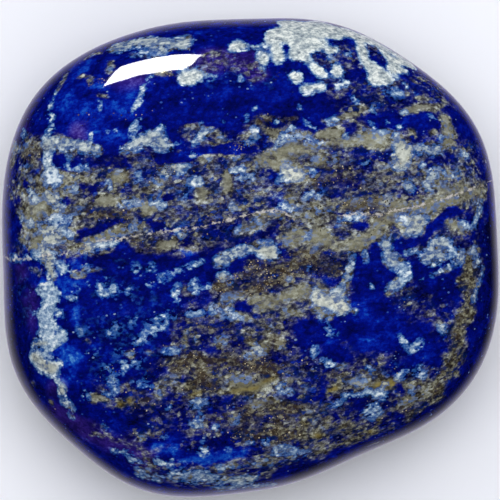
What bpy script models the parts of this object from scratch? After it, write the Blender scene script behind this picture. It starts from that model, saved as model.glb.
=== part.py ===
"""A polished lapis lazuli stone, tumbled flat and smooth, about 42 mm wide.

It is one piece of rock: a rounded slab with two nearly flat faces and a full,
round edge. It lies on a small flat spot in the middle of its back face.

Frame: metres, +Z up. The origin is in the middle of the flat spot, under the
middle of the stone's box. The show face looks along +Z, and seen from above
+X is the right side of the stone and +Y its far side.
"""

import math

import bmesh
import bpy
import numpy as np

MM = 0.001

# The outline seen from above: its radius in mm at every 15 degrees, from +X
# towards +Y. A smooth closed curve runs through these points.
OUTLINE_RADII = (
    21.0, 21.4, 22.1, 21.65, 21.25, 20.85, 20.25, 20.7,
    21.65, 22.65, 22.65, 21.7, 21.0, 21.55, 22.25, 21.9,
    21.85, 21.0, 19.85, 19.3, 19.2, 20.4, 21.5, 21.5,
)

# Heights in mm, measured from the widest line of the stone to each face.
SHOW_FACE_RISE = 7.0
BACK_FACE_DROP = 6.9
FLAT_SPOT_CUT = 0.10

# The section from the middle of a face to the edge is a superellipse. A high
# power makes a flatter face with a tighter edge.
EDGE_POWER = 5.0
EDGE_POWER_SWING = 0.7
EDGE_POWER_TURN = math.radians(200)
FACE_DOME = 0.06

# The widest line wanders up and down round the stone, in mm.
WAIST_SWING = 0.45
WAIST_TURN = math.radians(60)
WAIST_RIPPLE = 0.25
WAIST_RIPPLE_TURN = math.radians(15)

SPOKES = 84
RINGS = 32

DEEP_BLUE = (0.012, 0.028, 0.30, 1.0)


def clear_scene():
    for obj in list(bpy.data.objects):
        bpy.data.objects.remove(obj)


def outline_radius(angle):
    """Radius of the outline at an angle, in mm, by a Fourier series through the listed radii."""
    waves = np.fft.rfft(OUTLINE_RADII) / len(OUTLINE_RADII)
    radius = waves[0].real
    for order in range(1, len(waves)):
        share = 1 if 2 * order == len(OUTLINE_RADII) else 2
        turn = complex(math.cos(order * angle), math.sin(order * angle))
        radius += share * (waves[order] * turn).real
    return radius


def surface_point(angle, slope):
    """A point of the whole pebble in mm. slope is 0 at the top, pi / 2 at the edge and pi at the bottom."""
    power = EDGE_POWER + EDGE_POWER_SWING * math.cos(angle - EDGE_POWER_TURN)
    reach = math.sin(slope) ** (2 / power)
    height = SHOW_FACE_RISE if slope < math.pi / 2 else BACK_FACE_DROP
    rise = height * math.cos(slope) * (1 + FACE_DOME * (1 - reach**2))
    waist = WAIST_SWING * math.cos(angle - WAIST_TURN)
    waist += WAIST_RIPPLE * math.cos(3 * (angle - WAIST_RIPPLE_TURN))
    radius = outline_radius(angle) * reach
    return (
        radius * math.cos(angle),
        radius * math.sin(angle),
        rise + waist * reach**4,
    )


def slope_at_height(angle, height):
    """The slope value, past the edge, at which the back face has come down to a height."""
    low, high = math.pi / 2, math.pi
    for _ in range(50):
        middle = (low + high) / 2
        if surface_point(angle, middle)[2] > height:
            low = middle
        else:
            high = middle
    return low


def spoke_points(angle, flat_height):
    """Points down one spoke, evenly spaced along the section, from beside the top to the flat spot."""
    last = slope_at_height(angle, flat_height)
    # Close to the top the section moves fast with slope, so it is sampled on a cube.
    samples = [last * (step / 1500) ** 3 for step in range(1501)]
    course = np.array([surface_point(angle, slope) for slope in samples])
    lengths = np.linalg.norm(np.diff(course, axis=0), axis=1)
    along = np.concatenate([[0], np.cumsum(lengths)])
    wanted = np.linspace(0, along[-1], RINGS + 1)[1:]
    points = np.column_stack([np.interp(wanted, along, course[:, axis]) for axis in range(3)])
    points[-1, 2] = flat_height
    return points


def stone_mesh():
    """The closed skin of the stone: rings of quads with a fan at the top and one flat face below."""
    flat_height = FLAT_SPOT_CUT - BACK_FACE_DROP * (1 + FACE_DOME)
    angles = [2 * math.pi * spoke / SPOKES for spoke in range(SPOKES)]
    spokes = np.array([spoke_points(angle, flat_height) for angle in angles])
    middle = (spokes.min(axis=(0, 1)) + spokes.max(axis=(0, 1))) / 2
    origin = np.array([middle[0], middle[1], flat_height])

    form = bmesh.new()
    top = np.array([0.0, 0.0, SHOW_FACE_RISE * (1 + FACE_DOME)])
    pole = form.verts.new((top - origin) * MM)
    rings = [
        [form.verts.new((spokes[spoke, ring] - origin) * MM) for spoke in range(SPOKES)]
        for ring in range(RINGS)
    ]
    for spoke in range(SPOKES):
        beside = (spoke + 1) % SPOKES
        form.faces.new((pole, rings[0][spoke], rings[0][beside]))
        for upper, lower in zip(rings, rings[1:]):
            form.faces.new((upper[spoke], lower[spoke], lower[beside], upper[beside]))
    form.faces.new(reversed(rings[-1]))
    bmesh.ops.recalc_face_normals(form, faces=form.faces)

    mesh = bpy.data.meshes.new("lapis_stone")
    form.to_mesh(mesh)
    form.free()
    mesh.shade_smooth()
    return mesh


def polished_lapis():
    """Deep blue rock with a wet-looking polish."""
    material = bpy.data.materials.new("polished_lapis")
    material.use_nodes = True
    shader = material.node_tree.nodes["Principled BSDF"]
    shader.inputs["Base Color"].default_value = DEEP_BLUE
    shader.inputs["Roughness"].default_value = 0.08
    shader.inputs["Metallic"].default_value = 0.0
    return material


def make_stone():
    stone = bpy.data.objects.new("lapis_stone", stone_mesh())
    stone.data.materials.append(polished_lapis())
    bpy.context.scene.collection.objects.link(stone)
    return stone


clear_scene()
make_stone()
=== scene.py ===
import math

import bpy
import numpy as np
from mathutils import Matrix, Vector


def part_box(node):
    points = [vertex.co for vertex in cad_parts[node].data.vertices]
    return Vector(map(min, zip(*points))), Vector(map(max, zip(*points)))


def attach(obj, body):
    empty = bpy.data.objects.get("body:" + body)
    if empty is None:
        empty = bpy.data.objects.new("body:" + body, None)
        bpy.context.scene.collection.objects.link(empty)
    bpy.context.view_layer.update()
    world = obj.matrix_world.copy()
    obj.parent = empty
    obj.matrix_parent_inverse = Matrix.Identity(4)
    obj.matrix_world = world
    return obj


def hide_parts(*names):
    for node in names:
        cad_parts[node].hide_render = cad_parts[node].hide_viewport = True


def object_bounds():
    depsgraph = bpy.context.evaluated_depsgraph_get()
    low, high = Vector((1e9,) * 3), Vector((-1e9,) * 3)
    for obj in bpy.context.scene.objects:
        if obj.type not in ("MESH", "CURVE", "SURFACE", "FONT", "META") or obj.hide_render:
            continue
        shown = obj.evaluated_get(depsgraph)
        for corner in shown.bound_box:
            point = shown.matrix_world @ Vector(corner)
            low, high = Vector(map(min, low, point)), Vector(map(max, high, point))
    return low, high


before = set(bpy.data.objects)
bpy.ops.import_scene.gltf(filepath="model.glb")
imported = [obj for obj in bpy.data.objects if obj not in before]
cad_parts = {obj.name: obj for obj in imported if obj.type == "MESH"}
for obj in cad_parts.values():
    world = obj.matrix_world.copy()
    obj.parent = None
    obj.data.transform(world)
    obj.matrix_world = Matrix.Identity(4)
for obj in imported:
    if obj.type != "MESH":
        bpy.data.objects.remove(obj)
cad_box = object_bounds()

# The stone: one flat pebble of lapis lazuli, cut from banded rock, rounded in a
# tumbler and polished until it looks wet. It lies on a small flat spot in the
# middle of its back face. Its sizes are in mm, and its mesh is in metres.

MM = 0.001

# The outline seen from above: its radius at every 15 degrees, from +X towards +Y.
OUTLINE_RADII = (
    21.0, 21.4, 22.1, 21.65, 21.25, 20.85, 20.25, 20.7,
    21.65, 22.65, 22.65, 21.7, 21.0, 21.55, 22.25, 21.9,
    21.85, 21.0, 19.85, 19.3, 19.2, 20.4, 21.5, 21.5,
)

# Across the stone the section is a superellipse: nearly flat faces, a full round
# edge, and a widest line that wanders a little up and down.
STONE_SIZES = {
    "Show face rise": 7.0,
    "Back face drop": 6.9,
    "Edge power": 5.0,
    "Edge power swing": 0.7,
    "Edge power turn": math.radians(200),
    "Face dome": 0.06,
    "Waist swing": 0.45,
    "Waist turn": math.radians(60),
    "Waist ripple": 0.25,
    "Waist ripple turn": math.radians(15),
    "Flat spot cut": 0.10,
    "Polish waviness": 0.015,
    "Waves across": 7.0,
    "Wave seed": 3.0,
}
# The smooth skin stays this far inside the CAD stone's flat facets.
SKIN_INSET = 0.02
CELLS_ACROSS = 160
CELLS_DOWN = 72


class Wire:
    """A node's output that sums are written with. Each operation adds a Math node to its tree."""

    def __init__(self, socket):
        self.socket = socket
        self.tree = socket.id_data

    def maths(self, operation, *others):
        inputs = dict(enumerate((self, *others)))
        return Wire(add_node(self.tree, "ShaderNodeMath", inputs, operation=operation).outputs[0])

    def __add__(self, other):
        return self.maths("ADD", other)

    def __sub__(self, other):
        return self.maths("SUBTRACT", other)

    def __rsub__(self, other):
        return self.maths("MULTIPLY_ADD", -1.0, other)

    def __mul__(self, other):
        return self.maths("MULTIPLY", other)

    def __pow__(self, other):
        return self.maths("POWER", other)

    def step(self, low, high):
        """0 below low and 1 above high, with a smooth slope between."""
        inputs = {"Value": self, "From Min": low, "From Max": high}
        node = add_node(self.tree, "ShaderNodeMapRange", inputs, interpolation_type="SMOOTHSTEP")
        return Wire(node.outputs["Result"])

    __radd__ = __add__
    __rmul__ = __mul__


def add_node(tree, kind, inputs=None, **settings):
    """Adds a node. Its inputs are fed by name or by number, with a wire or a plain value."""
    node = tree.nodes.new(kind)
    for setting, value in settings.items():
        setattr(node, setting, value)
    for key, value in (inputs or {}).items():
        if isinstance(value, Wire):
            tree.links.new(value.socket, node.inputs[key])
        else:
            node.inputs[key].default_value = value
    return node


def outline_radius(angle):
    """The outline's radius at an angle, as the Fourier series through the listed radii."""
    waves = np.fft.rfft(OUTLINE_RADII) / len(OUTLINE_RADII)
    radius = abs(waves[0])
    for order in range(1, len(waves)):
        share = 1 if 2 * order == len(OUTLINE_RADII) else 2
        wave = (angle * order + float(np.angle(waves[order]))).maths("COSINE")
        radius = wave * (share * abs(waves[order])) + radius
    return radius


def pebble_form():
    """A geometry node tree that presses a gridded cube into the pebble's form."""
    tree = bpy.data.node_groups.new("pebble_form", "GeometryNodeTree")
    for name in STONE_SIZES:
        tree.interface.new_socket(name=name, in_out="INPUT", socket_type="NodeSocketFloat")
    tree.interface.new_socket(name="Rock", in_out="INPUT", socket_type="NodeSocketMaterial")
    tree.interface.new_socket(name="Geometry", in_out="OUTPUT", socket_type="NodeSocketGeometry")
    group = add_node(tree, "NodeGroupInput")
    size = {name: Wire(group.outputs[name]) for name in STONE_SIZES}

    # The cube's grid, spread as on a ball, gives each point an angle round the
    # stone and a tilt down from the middle of the show face.
    cube = add_node(tree, "GeometryNodeMeshCube", {
        "Size": (2, 2, 2),
        "Vertices X": CELLS_ACROSS + 1,
        "Vertices Y": CELLS_ACROSS + 1,
        "Vertices Z": CELLS_DOWN + 1,
    })
    place = Wire(add_node(tree, "GeometryNodeInputPosition").outputs[0])
    axes = add_node(tree, "ShaderNodeSeparateXYZ", {0: place}).outputs
    x, y, z = [(Wire(axis) * (math.pi / 4)).maths("TANGENT") for axis in axes]
    angle = y.maths("ARCTAN2", x)
    tilt = ((x * x + y * y) ** 0.5).maths("ARCTAN2", z)
    reach = tilt.maths("SINE")

    # A point's height comes from how far out it reaches.
    power = size["Edge power"] + size["Edge power swing"] * (angle - size["Edge power turn"]).maths("COSINE")
    shows = z.maths("GREATER_THAN", 0.0)
    height = shows * size["Show face rise"] - (1 - shows) * size["Back face drop"]
    dome = 1 + size["Face dome"] * (1 - reach * reach)
    rise = height * dome * (1 - reach ** power).maths("MAXIMUM", 0.0) ** 0.5
    waist = size["Waist swing"] * (angle - size["Waist turn"]).maths("COSINE")
    waist += size["Waist ripple"] * ((angle - size["Waist ripple turn"]) * 3).maths("COSINE")

    # The polishing wheel leaves slight waves, which only ever go inwards.
    noise = {"Vector": place, "W": size["Wave seed"], "Scale": size["Waves across"] * 0.5, "Detail": 1.0}
    waves = add_node(tree, "ShaderNodeTexNoise", noise, noise_dimensions="4D")
    worn = Wire(waves.outputs["Fac"]).step(0.25, 0.75) * size["Polish waviness"]
    radius = (outline_radius(angle) - worn - SKIN_INSET) * reach
    flat = size["Flat spot cut"] - size["Back face drop"] * (1 + size["Face dome"])
    level = (rise + waist * reach ** 4 - worn * shows).maths("MAXIMUM", flat) - flat

    shaped = add_node(tree, "ShaderNodeCombineXYZ", {
        "X": radius * angle.maths("COSINE") * MM,
        "Y": radius * angle.maths("SINE") * MM,
        "Z": level * MM,
    })
    skin = add_node(tree, "GeometryNodeSetPosition", {
        "Geometry": Wire(cube.outputs["Mesh"]),
        "Position": Wire(shaped.outputs[0]),
    })
    for kind in ("GeometryNodeSetShadeSmooth", "GeometryNodeRealizeInstances"):
        skin = add_node(tree, kind, {0: Wire(skin.outputs[0])})
    rock = {"Geometry": Wire(skin.outputs[0]), "Material": Wire(group.outputs["Rock"])}
    skin = add_node(tree, "GeometryNodeSetMaterial", rock)
    add_node(tree, "NodeGroupOutput", {0: Wire(skin.outputs[0])})
    return tree


def read_points(mesh):
    points = np.empty(len(mesh.vertices) * 3)
    mesh.vertices.foreach_get("co", points)
    return points.reshape(-1, 3)


def make_pebble(rock):
    """The pebble as a plain mesh, set over the middle of the CAD stone's box."""
    blank = bpy.data.objects.new("pebble_blank", bpy.data.meshes.new("pebble_blank"))
    bpy.context.scene.collection.objects.link(blank)
    form = blank.modifiers.new("form", "NODES")
    form.node_group = pebble_form()
    identifiers = {item.name: item.identifier for item in form.node_group.interface.items_tree}
    for name, value in STONE_SIZES.items():
        form[identifiers[name]] = value
    form[identifiers["Rock"]] = rock
    mesh = bpy.data.meshes.new_from_object(blank.evaluated_get(bpy.context.evaluated_depsgraph_get()))
    mesh.name = "polished_stone"
    bpy.data.node_groups.remove(form.node_group)
    bpy.data.objects.remove(blank)

    points = read_points(mesh)
    low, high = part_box("lapis_stone")
    middle = (low + high) / 2
    points[:, :2] += middle[:2] - (points[:, :2].min(0) + points[:, :2].max(0)) / 2
    mesh.vertices.foreach_set("co", points.ravel())
    mesh.update()
    pebble = bpy.data.objects.new("polished_stone", mesh)
    bpy.context.scene.collection.objects.link(pebble)
    return pebble


polished_lapis = bpy.data.materials.new("polished_lapis")
stone = make_pebble(polished_lapis)

# The minerals in the rock. Blue lazurite is everywhere. The others lie in it as
# seams, spots and bands, drawn by strokes as a lapidary would sketch them on the
# show face: (half width, x, y, x, y, ...) in mm, with one point for a spot.
# A few strokes paint light instead of rock: shade along the rims and a violet sheen.

# What a stroke lays down, as shares that grains are broken from: 0 gives none and
# 1 gives all. Shade darkens what it falls on below 0 and lightens it above.
SPRINKLED = {"matrix": 0.33, "calcite": 0.16, "pyrite": 0.3}
DUSKY = {"matrix": 0.28, "calcite": 0.12, "ochre": 0.3, "pyrite": 0.5, "shade": -0.6}
SPECKLED = {"matrix": 0.46, "calcite": 0.18, "ochre": 0.4, "pyrite": 0.4}
DENSE = {"matrix": 0.8, "calcite": 0.2, "ochre": 0.5, "pyrite": 0.4}
SPARKS = {"matrix": 0.08, "calcite": 0.17}
GREY = {"matrix": 0.95, "calcite": 0.3, "ochre": 0.1, "shade": 0.4}
SMOKE = {"matrix": 0.75, "calcite": 0.15, "ochre": 0.35, "pyrite": 0.1, "shade": 0.0}
TAUPE = {"matrix": 1.1, "calcite": 0.0, "ochre": 0.35, "pyrite": 0.1, "shade": 0.3}
OLIVE = {"matrix": 1.0, "calcite": 0.25, "ochre": 0.6, "shade": 0.3}
OCHRE = {"matrix": 1.1, "calcite": 0.0, "ochre": 1.1}
KHAKI = {"matrix": 0.95, "calcite": 0.15, "ochre": 0.55, "pyrite": 0.15, "shade": 0.9}
BROWN = {"matrix": 0.52, "calcite": 0.06, "ochre": 0.4, "pyrite": 1.2, "shade": -1.4}
CLEAR = {"matrix": -0.1, "calcite": -0.1, "pyrite": 0.05}
WHITE = {"calcite": 1.12, "ochre": 0.42}
CHALK = {"calcite": 1.6, "matrix": 0.8, "ochre": 0.52}
SAGE = {"calcite": 0.84, "matrix": 0.95, "ochre": 0.52}
COLUMN = {"calcite": 1.6, "ochre": 0.1, "shade": -1.3}
MOSS = {"matrix": 0.66, "calcite": 0.1, "ochre": 0.65, "pyrite": 0.5, "shade": -0.9}
PALE = {"calcite": 1.15, "ochre": 0.1}
FAINT = {"calcite": 0.7, "ochre": 0.3}
HAZE = {"calcite": 0.55, "matrix": 0.65, "ochre": 0.2}
CREAM = {"calcite": 1.05, "matrix": 1.0, "ochre": 0.62}
AZURE = {"shade": 1.7}
LIT = {"shade": 0.6, "matrix": -0.1, "calcite": -0.05}
# Navy rock, and painted shade where its strokes run along the rims.
NAVY_AND_RIM_SHADE = {"shade": -0.8}
# Painted shade: darkens the rims nearly to black where the light falls off.
RIM_SHADE = {"shade": -2.0}
FLECKS = {"pyrite": 1.5}
# Painted reflection: a violet sheen on the polish along the left and lower rims and beside the highlight.
VIOLET_SHEEN = {"violet_sheen": 1.0}

# The strokes are laid in this order, each group with its own softness of edge.
PAINTING = (
    # Broad zones of mixed blue and grey grains
    (SPRINKLED, 2.6, (
        (1.9, -13.0, 5.2, -6.0, 5.4, 1.0, 6.0, 6.0, 6.6), (1.2, -8.6, 3.0, -4.0, 4.0, 2.0, 3.4, 5.0, 2.8),
        (0.8, 9.0, 12.5, 13.0, 13.2, 16.0, 13.0), (1.1, 7.0, 14.0, 12.0, 14.3, 15.0, 14.4),
        (1.3, 6.6, 16.6, 8.6, 16.9), (1.0, 10.6, 17.6), (1.6, 15.0, 2.0, 17.6, 1.6),
        (1.4, -8.0, -17.6, -4.0, -18.6, 1.0, -18.4), (1.0, 13.0, -3.2, 16.0, -4.6, 16.6, -6.4),
        (1.2, -19.0, 8.0, -19.2, 5.0), (1.0, 18.4, 9.0, 19.2, 6.6), (0.9, 17.0, 3.4, 19.0, 3.4),
    )),
    (DUSKY, 2.4, (
        (2.0, -4.6, -5.0, -5.0, -6.8, -7.0, -8.6), (2.4, -9.0, -12.6, -5.0, -13.0, -1.0, -14.0),
        (1.4, 3.0, -8.8, 8.0, -9.6, 12.0, -9.4), (0.8, -6.4, 1.0, -3.0, 1.8, 0.0, 1.8, 2.4, 2.4),
        (1.6, 8.0, -12.6, 13.0, -11.8), (1.2, -12.0, -11.0, -8.0, -10.4),
        (1.6, -3.5, -5.4, -1.0, -6.8, 2.0, -7.0), (1.8, 2.0, -13.8, 7.0, -13.8, 11.0, -14.2),
    )),
    (SPECKLED, 2.2, (
        (1.3, -13.0, 6.6, -9.0, 6.8, -7.0, 7.2), (1.6, -12.5, 4.0, -9.0, 4.8, -5.0, 6.4, -1.0, 7.0),
        (0.6, -11.5, 1.9, -8.0, 2.6, -5.0, 3.0, 0.0, 4.2), (1.0, -4.5, 10.0, 0.0, 9.4, 5.0, 9.8),
        (0.7, 6.2, 9.2, 9.0, 9.4, 12.0, 9.2, 16.5, 9.6), (1.3, 11.0, 6.4, 14.0, 6.8, 18.0, 7.4),
        (1.0, -2.0, 4.8, 2.0, 5.2, 5.0, 5.4), (1.2, -5.0, -10.6, 0.0, -10.4, 4.0, -10.4),
        (1.0, 9.0, -10.4, 14.0, -10.6, 17.0, -9.4), (0.6, -2.0, -17.4, 2.0, -17.0, 6.0, -16.4),
    )),
    (SPECKLED, 1.8, (
        (0.9, 6.0, 8.0, 9.0, 7.8, 11.5, 7.8, 14.0, 8.4), (0.7, -19.6, 0.8, -15.0, 0.8),
        (0.5, 6.0, 2.8, 8.0, 2.9), (0.3, 6.0, 5.8, 12.0, 5.7),
        (0.9, 1.0, -12.6, 6.0, -12.6, 6.0, -14.4, 2.0, -14.6), (0.5, -4.4, 1.8, -2.6, 2.2, -0.8, 2.4),
    )),
    (DENSE, 1.8, (
        (2.6, -17.8, 5.0, -17.4, 2.6), (0.9, -14.6, 6.2, -14.2, 3.6),
        (0.7, -14.6, 1.0, -11.6, 1.7, -9.0, 2.3), (0.5, -19.0, 9.4, -16.0, 9.2, -13.4, 9.2),
        (0.7, 4.0, 3.4, 8.0, 4.0, 11.0, 4.4, 14.0, 4.1, 17.0, 4.7, 19.5, 5.2),
        (0.9, 10.6, 2.8, 12.6, 3.4, 14.6, 3.4), (0.7, 3.4, 1.6, 7.0, 1.3, 9.4, 1.2, 10.8, 1.8),
        (0.6, 1.6, -3.6, 3.0, -3.4, 6.3, -3.1),
        (0.6, 18.8, 0.3, 18.4, -1.6, 18.2, -4.0, 17.6, -6.6, 17.0, -8.8), (0.6, 16.6, 11.0, 16.9, 9.8),
        (0.9, 15.4, 6.4, 18.8, 5.8), (0.8, -3.0, -10.6, 1.0, -10.5), (0.7, 13.4, -12.2, 15.4, -11.4),
        (0.7, 8.0, -10.4, 13.0, -10.6), (0.8, 1.2, 8.4, 4.2, 8.6),
    )),
    (BROWN, 1.6, (
        (0.9, 0.4, -1.0, 2.4, -0.8, 4.6, -0.6, 7.0, -0.8), (0.7, -0.2, -2.2, 1.8, -2.0),
        (0.4, 6.8, 6.9, 8.4, 6.8), (0.7, -6.4, -9.0, -3.4, -8.8, 1.5, -8.9), (0.7, -2.4, -2.6, 1.0, -2.6),
        (0.4, -9.4, 1.1, -7.6, 1.1), (0.4, -13.2, 3.7, -11.0, 3.5, -10.4, 3.1), (0.4, 1.0, 11.5, 3.6, 11.5),
        (0.6, -0.6, -14.6, 3.2, -15.0), (0.5, -0.6, -13.0, 2.0, -13.2), (0.3, 0.0, -6.8, 2.0, -6.7),
        (0.3, -19.0, 8.9, -17.4, 8.9), (0.4, 17.8, -5.0, 17.8, -6.0), (0.3, -9.6, -12.1, -8.6, -12.2),
    )),
    (SPARKS, 2.0, (
        (1.6, -14.0, -2.0, -9.0, -2.4), (2.0, -13.0, -5.4, -9.0, -5.6), (2.0, -13.0, -8.8, -9.0, -8.4),
        (1.2, -3.0, 16.2, 0.4, 15.4), (0.8, -4.0, 14.6, 2.0, 14.6), (1.0, -18.8, -2.0, -19.0, -5.4),
        (1.0, 12.4, -9.4),
    )),
    # Dark and light blue, and painted shade along the rims
    (LIT, 2.0, (
        (0.4, 9.0, -4.6, 10.6, -5.0), (0.2, 9.8, -7.5, 11.4, -7.4),
        (1.6, -15.4, 12.0, -12.0, 12.6, -10.4, 13.6), (0.8, -14.4, 15.8), (1.2, -13.0, 10.6, -11.0, 10.4),
        (1.0, -15.4, -7.6, -14.8, -9.0), (0.6, -16.0, -2.4, -14.0, -1.8),
        (0.2, 2.0, 12.9, 4.0, 13.0, 6.0, 13.3),
    )),
    # Navy zones of the rock. The strokes along the left, right and lower rims are painted shade.
    (NAVY_AND_RIM_SHADE, 1.6, (
        (0.6, -14.5, 8.3, -10.0, 8.2, -7.0, 8.5), (1.4, -18.8, 12.4, -18.9, 11.2),
        (0.8, 2.0, 12.3, 7.0, 12.9, 12.0, 13.2), (0.9, -12.0, -0.1, -7.0, 0.4, -3.0, 1.2),
        (1.4, -19.4, -3.0, -19.4, -8.0, -17.6, -12.2, -15.6, -14.6),
        (1.0, 19.8, 2.0, 20.0, -4.0, 19.2, -8.0, 17.6, -11.0), (1.0, 2.0, -17.9, 8.0, -16.8, 12.0, -15.4),
        (0.8, 12.0, -14.8, 16.4, -12.4, 18.6, -9.4), (0.7, 7.0, 5.6, 11.0, 5.6),
        (0.6, 0.6, -16.2, 2.2, -16.4), (0.8, 10.0, -1.6, 13.0, -3.2, 17.0, -2.8),
        (0.7, -15.0, -5.8, -10.0, -6.6), (0.5, -14.0, -12.4, -12.6, -12.4),
    )),
    # Painted shade: the right, lower and lower-left rims darkened where little light reaches them.
    (RIM_SHADE, 2.0, (
        (0.8, 20.4, 2.0, 20.6, -4.0, 19.6, -8.6, 17.8, -11.6, 14.0, -14.4, 10.0, -16.4, 4.0, -18.6),
        (0.8, -20.4, -6.0, -19.4, -10.4, -17.6, -13.4, -14.6, -16.2, -11.0, -18.6),
    )),
    (AZURE, 1.2, (
        (0.35, -8.0, -15.9, -6.4, -16.0),
        (0.5, -6.0, -17.2, -4.6, -17.1, -3.4, -16.9, -2.2, -16.5, -0.8, -16.3),
        (0.5, -17.4, -2.4, -16.2, -2.2), (0.6, -15.8, -7.6, -14.8, -8.4), (0.3, -16.2, -5.3),
        (0.35, -15.0, 0.4, -14.6, 0.0), (0.2, 1.5, -11.0, 1.6, -11.8), (0.4, -13.6, 16.3, -14.3, 15.6),
        (0.2, -14.3, 14.6, -12.2, 14.2), (0.2, -1.9, 14.0), (0.25, 12.5, 2.3, 12.8, 3.3),
        (0.3, -15.9, -10.3, -14.9, -10.1), (0.25, -5.6, 0.5, -5.0, 0.4),
        (0.25, 1.2, 5.8, 2.0, 5.2, 2.8, 4.6), (0.25, -19.0, 2.0, -18.8, 1.0), (0.2, -15.2, 3.4),
        (0.2, -15.1, 2.4), (0.25, 7.0, -2.0, 6.0, -2.2), (0.3, 16.6, 7.4), (0.2, -14.4, -4.1, -14.5, -5.0),
    )),
    # Bands and lumps of grey rock
    (SMOKE, 2.2, (
        (0.6, 1.0, -3.9, 3.4, -3.4, 6.0, -3.0, 7.4, -2.8), (0.3, 0.4, -5.2, 2.0, -5.0, 4.6, -4.4),
        (0.2, -0.6, -6.0, 1.8, -6.1),
    )),
    (GREY, 0.7, (
        # the band across the left
        (0.35, -20.0, 9.5, -18.6, 9.3), (0.1, -12.8, 13.6, -12.0, 13.5), (0.2, -11.8, 16.4, -11.9, 15.8),
        (0.1, -12.4, 17.3, -13.2, 17.2, -14.0, 16.7), (0.2, -15.4, 15.6, -15.8, 14.8, -16.1, 14.3),
        (0.3, -7.9, 6.4, -7.2, 6.3), (0.3, -10.2, 3.2, -9.7, 2.8),
        # the upper half
        (0.4, -3.8, 10.5, -2.6, 10.7, -2.4, 10.2), (0.3, -1.1, 8.5), (0.4, -4.0, 8.2, -3.4, 8.2),
        (0.2, -6.1, 8.6), (0.3, 3.3, 9.9, 4.7, 10.3), (0.3, 9.0, 10.1, 10.5, 10.1, 11.4, 10.4),
        (0.25, 12.6, 12.1, 14.0, 12.4, 15.2, 12.6, 16.4, 13.1), (0.2, 14.2, 13.5, 15.4, 13.5),
        (0.25, 4.6, 3.6, 5.6, 3.7, 6.6, 3.6), (0.3, 16.0, 7.0, 17.0, 6.8), (0.3, 5.2, 2.4),
        # the middle
        (0.4, -0.8, 2.2, 0.0, 2.5, 0.9, 2.8), (0.25, 3.0, -1.8), (0.4, -3.0, -4.3, -2.0, -4.4),
        (0.4, -1.8, -3.4, -0.5, -3.3), (0.35, -1.4, -5.0, -0.4, -5.0), (0.4, 5.6, -4.7, 6.4, -4.7),
        (0.25, -18.4, -0.8, -17.7, -1.2), (0.2, -14.6, -1.3, -14.0, -1.3), (0.15, -13.6, -0.8, -12.2, -1.0),
        # the lower half
        (0.3, -4.3, -6.8), (0.3, -2.4, -7.2), (0.35, -0.4, -8.0, 0.0, -8.1),
        (0.35, -7.4, -10.5, -6.4, -10.3), (0.3, -7.6, -11.5), (0.3, 7.5, -9.1, 8.0, -8.9),
        (0.35, 8.6, -10.3, 9.6, -10.3), (0.35, -9.3, -15.0), (0.4, -2.6, -17.5, -1.6, -17.2),
        (0.35, 0.2, -17.2, 1.6, -17.0), (0.3, -1.5, -13.2), (0.3, -10.1, -8.4),
    )),
    (TAUPE, 0.7, (
        (0.35, -13.0, 4.8, -11.6, 5.0), (0.4, -9.4, 4.2, -8.4, 4.1, -9.0, 3.5),
        (0.45, -7.1, 1.4, -6.3, 1.4), (0.4, -4.3, 5.3), (0.4, -1.9, 6.9, -1.9, 6.2),
        (0.3, 5.8, 10.2, 7.4, 10.3), (0.25, 1.0, 10.8, 1.8, 10.4), (0.3, -0.8, 10.3, 0.0, 10.5),
        (0.15, 8.9, 12.6, 10.0, 12.4), (0.15, 6.4, 11.5, 8.0, 11.7, 9.4, 12.0),
        (0.25, 12.6, 12.1, 14.0, 12.4, 15.2, 12.6, 16.4, 13.1), (0.15, 14.2, 13.5, 15.8, 13.6),
        (0.35, 15.2, 10.8), (0.3, 13.5, 10.3), (0.3, -13.3, -14.8, -12.4, -14.7),
        (0.25, -13.3, -11.7, -12.2, -11.9), (0.3, -18.3, -10.7), (0.2, 11.4, 17.4),
    )),
    (OLIVE, 0.7, (
        (0.45, -11.3, 7.1, -10.5, 6.8), (0.3, -10.4, 4.9, -9.8, 4.9),
        (0.35, -13.6, 1.8, -12.0, 1.9, -10.9, 2.1), (0.25, -14.2, 15.3, -13.4, 15.1, -13.6, 14.6),
        (0.15, -8.0, 15.4, -6.7, 15.4), (0.35, -16.8, 9.3), (0.3, -14.4, 9.4, -13.7, 9.2),
        (0.4, 0.7, 8.4, 1.3, 9.0, 2.0, 9.0), (0.4, 1.5, 7.8, 2.2, 7.4), (0.35, 2.8, 8.6, 4.0, 9.0),
        (0.25, 4.8, 9.1, 6.4, 9.3, 7.4, 9.6), (0.4, 7.8, 9.5, 9.0, 9.8, 10.6, 9.7),
        (0.3, 5.6, 8.1, 6.4, 8.2), (0.5, 16.4, 11.3, 16.8, 10.6), (0.4, 17.0, 9.6), (0.3, 7.4, 8.1),
        (0.35, 3.3, 5.1, 3.7, 4.6), (0.3, -1.6, 4.5, -0.6, 4.4), (0.3, 0.6, 3.5, 2.2, 3.6),
        (0.4, 3.6, 1.5, 4.4, 1.9), (0.45, 5.9, 1.7, 7.0, 1.3), (0.4, 8.6, 1.0, 10.2, 1.4),
        (0.3, 3.4, -0.4, 3.8, -1.0), (0.25, 4.8, -0.1, 5.6, 0.5), (0.5, 8.4, 4.3, 9.6, 4.4),
        (0.5, 11.2, 4.6, 12.6, 4.4, 14.2, 4.1, 15.6, 4.4, 17.2, 4.7), (0.6, 11.6, 3.5, 10.9, 2.8),
        (0.4, 16.4, 2.6, 17.8, 2.3), (0.5, 16.2, 5.7, 18.6, 5.5),
        (0.5, 0.6, -3.6, 2.0, -3.6, 3.5, -3.3, 4.6, -3.3), (0.35, 6.2, -2.6), (0.35, 3.9, -4.6, 2.9, -4.4),
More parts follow.
